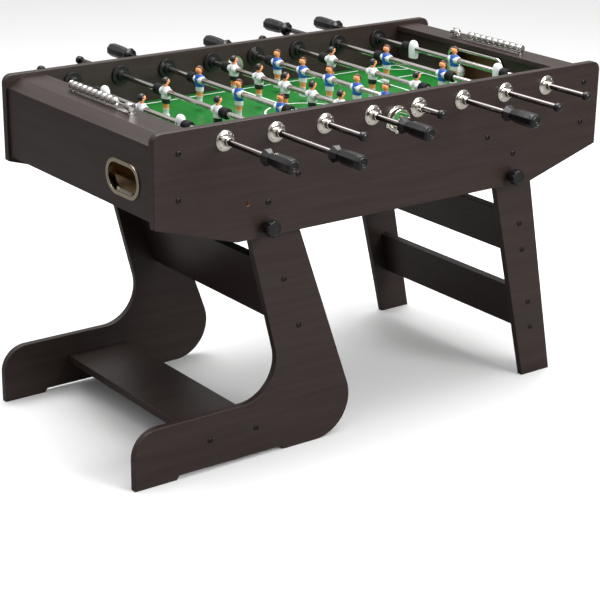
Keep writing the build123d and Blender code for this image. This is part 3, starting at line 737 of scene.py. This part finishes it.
whiteMan = makeMan("whiteMan", hairBlack, shirtWhite, shirtWhite, shortsBlack, shirtWhite, shortsBlack)
blueMan = makeMan("blueMan", hairBrown, shirtBlue, shirtWhite, shirtWhite, shirtWhite, shirtWhite)
stopTorso = makeStop("stopTorso")
for number, x in rodX.items():
    body = f"rod_spinner_{number}"
    node = f"men_{number}"
    team, pattern = ("white", whiteMan) if number in whiteRods else ("blue", blueMan)
    facing = asIs if team == "white" else halfTurn
    for order, y in enumerate(menOf[number], 1):
        figure = copyOf(pattern, f"{team}Man{number}_{order}", moved(x, y * mm, rodHeight) @ facing)
        settle(figure, body, slotOf[node], node)
    for order, y in enumerate(stopsOf.get(number, ()), 1):
        stop = copyOf(stopTorso, f"goalStop{number}_{order}", moved(x, y * mm, rodHeight) @ facing)
        settle(stop, body, slotOf[node], node)
discard(whiteMan, blueMan, stopTorso)
print("men made")


gripValues = {
    "length": 94, "sides": 8, "capLength": 14,
    "steps": ((0, 8.6), (1, 9.6), (4, 16.4), (5.5, 17.2), (9, 16.6), (17, 11.6), (21, 10.8), (25, 11.6),
              (31, 13.8), (50, 14.6), (78, 15.0), (89, 14.4), (93, 11.4), (94, 9.6), (93.6, 8.4),
              (92.2, 8.0), (92.2, 3.0), (91, 2.4)),
    "capSteps": ((0, 8.2), (0.6, 9.6), (3, 10), (9, 9.6), (12, 7.6), (13.6, 4.4), (14, 1.6)),
}


def makeGrip():
    # The grip from its collar outwards along +Y, starting at y = 0, its eight edges rounded.
    steps = [(y * mm, r * mm / math.cos(math.pi / 8)) for y, r in gripValues["steps"]]
    grip = turnedPiece("grip", steps, gripValues["sides"], twist=math.pi / 8)
    bevelEdges(grip, 0.6 * mm, 2, 25)
    return paint(closeUp(grip, 30), gripPlastic)


def makeEndCap():
    cap = turnedPiece("endCap", inMetres(gripValues["capSteps"]), 28)
    return paint(closeUp(cap, 50), gripPlastic)


grip = makeGrip()
endCap = makeEndCap()
for number, x in rodX.items():
    node = f"handle_{number}"
    low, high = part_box(node)
    nearHandle = number in whiteRods
    gripEnd, capEnd = (low.y, high.y) if nearHandle else (high.y, low.y)
    outward = asIs if gripEnd > 0 else mirrorY
    inward = mirrorY if gripEnd > 0 else asIs
    gripStart = gripEnd - math.copysign(gripValues["length"] * mm, gripEnd)
    capStart = capEnd - math.copysign(gripValues["capLength"] * mm, capEnd)
    body = f"rod_spinner_{number}"
    piece = copyOf(grip, f"grip{number}", moved(x, gripStart, rodHeight) @ outward)
    settle(piece, body, slotOf[node], node)
    cap = copyOf(endCap, f"endCap{number}", moved(x, capStart, rodHeight) @ inward)
    settle(cap, body, slotOf[node], node)
discard(grip, endCap)
print("handles made")


bushValues = {
    "disc": ((0, 22), (1.6, 22), (2.4, 21.4), (3.2, 19.5), (4.4, 16), (5.0, 12.6), (5.0, 10.4), (6, 9.6),
             (17.6, 9.2), (18.6, 8.6), (18.8, 7.6), (18.2, 6.9), (0, 6.9)),
    "screw": ((0, 2.4), (0.5, 2.4), (0.9, 1.9), (1.1, 1.1), (0.5, 0.9)),
    "screwCircle": 16.6,
}


def makeBush():
    # A domed disc with a nose, along +Y from the panel's face, and its four screws.
    disc = turnedPiece("bush", inMetres(bushValues["disc"]), 40, hollow=True)
    parts = [paint(closeUp(disc, 40), chrome)]
    for step in range(4):
        angle = math.radians(45 + 90 * step)
        reach = bushValues["screwCircle"] * mm
        screw = turnedPiece("bushScrew", inMetres(bushValues["screw"]), 12)
        screw.data.transform(moved(reach * math.cos(angle), 3.6 * mm, reach * math.sin(angle)))
        parts.append(paint(screw, nickel))
    return joined("bush", parts)


bush = makeBush()
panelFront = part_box("side_panel_front")[0].y
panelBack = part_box("side_panel_back")[1].y
panelFaces = (("Front", panelFront, mirrorY), ("Back", panelBack, asIs))
bushes = []
for number, x in rodX.items():
    for side, face, flip in panelFaces:
        bushes.append(copyOf(bush, f"bearing{side}{number}", moved(x, face, rodHeight) @ flip))
for piece in bushes:
    settle(piece, "cabinet", slotOf["bearing_bushes"], "bearing_bushes")
discard(bush)
print("bearings made")


feederValues = {
    "flange": ((0, 28.5), (1.4, 28.5), (2.4, 27.6), (2.8, 25.2), (4.4, 24.6), (5.2, 23.8), (5.2, 22.4),
               (4.0, 21.4), (0, 21.2)),
    "hood": ((4, 24.6), (14, 24.2), (15.8, 23.6), (16, 22.8), (15.4, 22.0), (4, 21.6)),
    "sleeve": ((-18, 24.3), (0, 24.3), (0, 21.2), (-18, 21.2)),
    "ear": ((0, 5.2), (1.8, 5.2), (2.6, 4.4), (2.8, 3.2)),
    "earAngles": (-155, -90, -25), "earCircle": 28.0,
}


def makeFeeder():
    # Flange, sleeve, half hood and three screwed ears, along +Y from the panel's face.
    def turned(name, key, sides=44, hollow=True):
        return turnedPiece(name, inMetres(feederValues[key]), sides, hollow)

    flange = turned("feeder", "flange")
    sleeve = turned("feederSleeve", "sleeve")
    hood = turned("feederHood", "hood")
    pickFaces(hood, lambda centre, normal: True)
    bpy.ops.mesh.bisect(plane_co=(0, 0, 0), plane_no=(0, 0, 1), clear_inner=True, use_fill=True)
    bpy.ops.object.mode_set(mode="OBJECT")
    parts = [paint(piece, chrome) for piece in (flange, sleeve, hood)]
    for degrees in feederValues["earAngles"]:
        angle = math.radians(degrees)
        reach = feederValues["earCircle"] * mm
        place = moved(reach * math.cos(angle), 0, reach * math.sin(angle))
        ear = turned("feederEar", "ear", 20, False)
        ear.data.transform(place)
        screw = turnedPiece("feederScrew", inMetres(bushValues["screw"]), 12)
        screw.data.transform(place @ moved(0, 2.6 * mm, 0))
        parts += [paint(ear, chrome), paint(screw, nickel)]
    return joined("feeder", parts)


feeder = makeFeeder()
feederLow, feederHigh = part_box("ball_feeders")
feederX = (feederLow.x + feederHigh.x) / 2
feederZ = (feederLow.z + feederHigh.z) / 2
for side, face, flip in panelFaces:
    piece = copyOf(feeder, f"ballFeeder{side}", moved(feederX, face, feederZ) @ flip)
    settle(piece, "cabinet", slotOf["ball_feeders"], "ball_feeders")
discard(feeder)
print("feeders made")


counterValues = {
    "bead": ((-10.2, 4.6), (-9.6, 6.4), (-8.2, 7.9), (-6, 9.0), (-3, 9.5), (3, 9.5), (6, 9.0), (8.2, 7.9),
             (9.6, 6.4), (10.2, 4.6), (9.6, 3.2), (9.4, 2.4), (-9.4, 2.4), (-9.6, 3.2)),
    "post": ((0, 6.5), (0.4, 8.6), (1.2, 9.2), (2.0, 9.2), (2.6, 8.6), (3.0, 6.5)),
    "halfLength": 125, "halfWidth": 8, "wireUp": 13.5, "wireRadius": 2.25, "baseThick": 1.4, "lipHigh": 2.7,
    "lipThick": 1.6, "screwAt": 112, "beadHalf": 10.2, "beadPitch": 20.8,
}


def makeCounter():
    # A counter about the middle of its foot: a lipped base screwed down, two end posts and the wire.
    values = counterValues
    half, width = values["halfLength"] * mm, values["halfWidth"] * mm
    parts = [beveledBlock("counter", (-width, -half, 0), (width, half, values["baseThick"] * mm), 0.4 * mm)]
    for side in (-1, 1):
        edge = side * width
        inner = side * (width - values["lipThick"] * mm)
        parts.append(beveledBlock("lip", (min(edge, inner), -half, 0.2 * mm),
                                  (max(edge, inner), half, values["lipHigh"] * mm), 0.5 * mm))
    for start in (-half, half - 3 * mm):
        post = turnedPiece("post", inMetres(values["post"]), 32)
        post.data.transform(moved(0, start, values["wireUp"] * mm))
        foot = beveledBlock("postFoot", (-5 * mm, start + 0.4 * mm, 1 * mm),
                            (5 * mm, start + 2.6 * mm, 8 * mm))
        parts += [post, foot]
    for part in parts:
        paint(part, counterSilver)
    reach = half - 1 * mm
    wire = turnedPiece("wire", [(-reach, 1.6 * mm), (-reach + 0.6 * mm, values["wireRadius"] * mm),
                                (reach - 0.6 * mm, values["wireRadius"] * mm), (reach, 1.6 * mm)], 20)
    wire.data.transform(moved(0, 0, values["wireUp"] * mm))
    parts.append(paint(wire, chrome))
    for side in (-1, 1):
        screw = turnedPiece("counterScrew", inMetres(bushValues["screw"]), 12)
        screw.data.transform(moved(0, side * values["screwAt"] * mm, values["baseThick"] * mm)
                             @ Matrix.Rotation(math.pi / 2, 4, "X"))
        parts.append(paint(screw, blackSteel))
    return joined("counter", parts)


counter = makeCounter()
railLow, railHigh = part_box("score_rails")
for side, x, turn in (("Left", railLow.x + counterValues["halfWidth"] * mm, asIs),
                      ("Right", railHigh.x - counterValues["halfWidth"] * mm, halfTurn)):
    reach = railHigh.y - counterValues["halfLength"] * mm
    y = reach if side == "Left" else -reach
    piece = copyOf(counter, f"scoreCounter{side}", moved(x, y, railLow.z) @ turn)
    settle(piece, "cabinet", slotOf["score_rails"], "score_rails")
discard(counter)


def beadPlaces(node, count):
    # The counter's middle line, and each bead's place along it.
    low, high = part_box(node)
    first, pitch = low.y + counterValues["beadHalf"] * mm, counterValues["beadPitch"] * mm
    return (low.x + high.x) / 2, (low.z + high.z) / 2, [first + pitch * step for step in range(count)]


def makeBead():
    bead = turnedPiece("bead", inMetres(counterValues["bead"]), 24, hollow=True)
    return paint(closeUp(bead, 45), beadShine)


bead = makeBead()
for node, count in (("score_beads_left", 9), ("scored_bead_left", 1), ("score_beads_right", 9),
                    ("scored_bead_right", 1)):
    x, z, places = beadPlaces(node, count)
    for order, y in enumerate(places, 1):
        piece = copyOf(bead, f"{node.replace('_', '')}{order}", moved(x, y, z))
        settle(piece, node, slotOf[node], node)
discard(bead)
print("counters made")


knobValues = {
    "head": ((0, 14), (1.2, 17.4), (3.2, 18.6), (16, 18.4), (18.4, 17.2), (19.4, 15.4), (19.2, 13.4),
             (18.2, 12.4), (18.0, 4)),
    "hub": ((-10, 10.6), (-9, 11), (-1, 11), (0, 11.4)),
    "shank": ((-29.5, 3.2), (-28.8, 4), (-9.8, 4)),
    "flutes": 10, "fluteDepth": 0.93, "fluteSpan": (2, 17.5), "fluteHalf": math.radians(7), "headHigh": 20,
}


def makeKnob():
    # The knob along +Y, with y = 0 where its head meets the hub.
    head = turnedPiece("knob", inMetres(knobValues["head"]), 60)
    low, high = (value * mm for value in knobValues["fluteSpan"])
    nearAxis = math.cos(knobValues["fluteHalf"])
    for flute in range(knobValues["flutes"]):
        angle = 2 * math.pi * flute / knobValues["flutes"]
        axis = Vector((math.cos(angle), 0, math.sin(angle)))
        pickFaces(head, lambda centre, normal: abs(normal.y) < 0.5 and low < centre.y < high
                  and Vector((centre.x, 0, centre.z)).normalized().dot(axis) > nearAxis)
        shrink = knobValues["fluteDepth"]
        bpy.ops.transform.resize(value=(shrink, 1, shrink), center_override=(0, 10 * mm, 0))
        bpy.ops.object.mode_set(mode="OBJECT")
    parts = [paint(closeUp(head, 40), blackPlastic)]
    hub = turnedPiece("knobHub", inMetres(knobValues["hub"]), 30)
    shank = turnedPiece("knobShank", inMetres(knobValues["shank"]), 20)
    parts += [paint(hub, blackPlastic), paint(shank, nickel)]
    return joined("knob", parts)


knob = makeKnob()
for node in sorted(frame["nodes"]):
    if node.startswith("locking_knob"):
        low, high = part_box(node)
        back = node.split("_")[2] == "back"
        y = high.y - knobValues["headHigh"] * mm if back else low.y + knobValues["headHigh"] * mm
        place = moved((low.x + high.x) / 2, y, (low.z + high.z) / 2) @ (asIs if back else mirrorY)
        words = node.split("_")
        piece = copyOf(knob, "lockingKnob" + words[2].title() + words[3].title(), place)
        settle(piece, node, slotOf[node], node)
discard(knob)
print("knobs made")


screwValues = {
    "head": ((0, 6.2), (0.8, 6.4), (2.0, 5.8), (2.6, 4.2), (2.6, 3.0), (0.8, 2.6)),
    "shank": ((0, 5.94), (-1, 5.94)),
    "panel": ((-547, 715), (-548, 620), (557, 716.5), (554, 624), (-255, 628), (267, 628)),
    "pivots": (("fold_frame_fold", "curved_legs"), ("splay_frame_fold", "splay_legs")),
    "panelThick": 18, "legThick": 16, "socket": 3.1,
    "pivotTip": ((8, 5.4), (7.4, 5.94)), "collar": ((0.3, 12), (0.7, 13)),
    "nut": ((7.4, 8), (6.6, 9.6), (1.1, 9.6), (0.4, 8.6)),
    "legs": {
        "fold_frame": ((-274.3, 395.6), (-233.5, 283.1), (-463, 70.7), (-344.3, 70.6)),
        "splay_frame": ((415.1, 391.2), (428.5, 324.9), (458.3, 188.8), (470.8, 122.6)),
    },
}
boltHead = turnedPiece("boltHead", inMetres(screwValues["head"]), 24)
# The faces of the recessed socket are painted a darker black: painted shade in the recess.
paintFaces(boltHead, [blackSteel, blackPlastic],
           lambda centre, normal: int(math.hypot(centre.x, centre.z) < screwValues["socket"] * mm))
bothFaces = (("Front", -1, mirrorY), ("Back", 1, asIs))


def placeBolts(words, places, face, body, *nodes):
    for order, (x, z) in enumerate(places, 1):
        for side, sign, flip in bothFaces:
            piece = copyOf(boltHead, f"{words}{side}{order}", moved(x, sign * face, z) @ flip)
            settle(piece, body, "bolt_steel", *nodes)


placeBolts("panelBolt", fromCentre(screwValues["panel"]), panelBack, "cabinet", "cabinet_fasteners")
for body, places in screwValues["legs"].items():
    node = "curved_legs" if body == "fold_frame" else "splay_legs"
    placeBolts(body.replace("_frame", "") + "Screw", fromCentre(places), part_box(node)[1].y, body)
for jointName, node in screwValues["pivots"]:
    x, _, z = joints[jointName]["pos_m"]
    words = jointName.split("_")[0] + "Pivot"
    placeBolts(words, [(x, z)], panelBack, "cabinet", "cabinet_fasteners")
    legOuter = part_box(node)[1].y
    legInner = legOuter - screwValues["legThick"] * mm
    inside = panelBack - screwValues["panelThick"] * mm
    # Shank through panel and leg, a collar against the panel and a nut inside the leg.
    shank = turnedPiece("shank", [(legInner - y * mm, r * mm) for y, r in screwValues["pivotTip"]]
                        + [(panelBack, screwValues["pivotTip"][-1][1] * mm)], 28)
    collar = turnedPiece("collar", [(legOuter + y * mm, r * mm) for y, r in screwValues["collar"]]
                         + [(inside, screwValues["collar"][-1][1] * mm)], 32)
    nut = turnedPiece("nut", [(legInner - y * mm, r * mm) for y, r in screwValues["nut"]], 6)
    stack = joined("pivotStack", [paint(shank, nickel), paint(collar, nickel), paint(nut, nickel)])
    stack.data.transform(moved(x, 0, z))
    for side, sign, flip in bothFaces:
        piece = copyOf(stack, f"{words}Bolt{side}", flip)
        settle(piece, "cabinet", "bolt_steel", "cabinet_fasteners")
    discard(stack)
discard(boltHead)

ballValues = {"radius": 18, "place": (508, 65), "seamHalf": 1.2, "seamInset": 0.25, "seamDepth": -0.12}
deselectAll()
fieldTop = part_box("playfield")[1].z
bpy.ops.mesh.primitive_uv_sphere_add(
    segments=40, ring_count=24, radius=ballValues["radius"] * mm,
    location=(centreX + ballValues["place"][0] * mm, ballValues["place"][1] * mm,
              fieldTop + ballValues["radius"] * mm))
ball = bpy.context.object
ball.name = ball.data.name = "ball"
bpy.ops.object.transform_apply(location=True, rotation=True, scale=True)
ballCentre = sum((vertex.co for vertex in ball.data.vertices), Vector()) / len(ball.data.vertices)
pickFaces(ball, lambda centre, normal: abs(centre.z - ballCentre.z) < ballValues["seamHalf"] * mm)
bpy.ops.mesh.inset(thickness=ballValues["seamInset"] * mm, depth=ballValues["seamDepth"] * mm)
bpy.ops.object.mode_set(mode="OBJECT")
settle(paint(closeUp(ball, 50), ballWhite), "cabinet", "white_bead")
print("screws and ball made")


# White to the eye and dim in reflections, so that plated parts keep their contrast.
floorValues = {"reflected": (0.22, 0.215, 0.21), "seen": (0.88, 0.88, 0.88), "rough": 0.6,
               "size": 24, "place": (0, 4, 0)}
floorMaterial, floorTree, floorShader = newMaterial("paleFloor")[:3]
floorSeen = floorTree.nodes.new("ShaderNodeLightPath").outputs["Is Camera Ray"]
floorTree.links.new(mixColours(floorTree, floorSeen, floorValues["reflected"], floorValues["seen"]),
                    floorShader.inputs["Base Color"])
floorShader.inputs["Roughness"].default_value = floorValues["rough"]
deselectAll()
bpy.ops.mesh.primitive_plane_add(size=floorValues["size"], location=floorValues["place"])
floor = bpy.context.object
floor.name = "studioFloor"
paint(floor, floorMaterial)

# A studio that is bright overhead and dim around the sides, against a white backdrop.
studio = {"overhead": (0.95, 0.95, 0.95), "around": (0.16, 0.155, 0.15), "from": 0.02, "to": 0.75}
world = bpy.context.scene.world or bpy.data.worlds.new("studio")
bpy.context.scene.world = world
world.use_nodes = True
backdrop = world.node_tree.nodes["Background"]
direction = world.node_tree.nodes.new("ShaderNodeSeparateXYZ")
skyPlace = world.node_tree.nodes.new("ShaderNodeTexCoord").outputs["Generated"]
world.node_tree.links.new(skyPlace, direction.inputs[0])
upward = rampNode(world.node_tree, direction.outputs["Z"], studio["from"], studio["to"])
sky = mixColours(world.node_tree, upward, studio["around"], studio["overhead"])
seen = world.node_tree.nodes.new("ShaderNodeLightPath").outputs["Is Camera Ray"]
world.node_tree.links.new(mixColours(world.node_tree, seen, sky, (1, 1, 1)), backdrop.inputs["Color"])
bpy.context.scene.view_settings.view_transform = "Standard"

lights = {
    "topSoftbox": {"place": (0.2, 0.4, 3.6), "aim": (0, 0, 0.6), "size": 3.0, "power": 170},
    "frontSoftbox": {"place": (1.2, -3.6, 2.2), "aim": (0.1, 0, 0.5), "size": 2.0, "power": 115},
}
for name, values in lights.items():
    deselectAll()
    bpy.ops.object.light_add(type="AREA", location=values["place"])
    light = bpy.context.object
    light.name = name
    light.data.size = values["size"]
    light.data.energy = values["power"]
    aim = Vector(values["aim"]) - Vector(values["place"])
    light.rotation_euler = aim.to_track_quat("-Z", "Y").to_euler()

view = {"place": (-2.33754, -3.16741, 1.64534), "turn": (1.209507, -0.010945, -0.628050), "lens": 106.849,
        "shiftX": 0.01591, "shiftY": 0.03260}
deselectAll()
bpy.ops.object.camera_add(location=view["place"], rotation=view["turn"])
camera = bpy.context.object
camera.data.lens = view["lens"]
camera.data.sensor_width = 36
camera.data.shift_x = view["shiftX"]
camera.data.shift_y = view["shiftY"]
bpy.context.scene.camera = camera
print("studio ready")
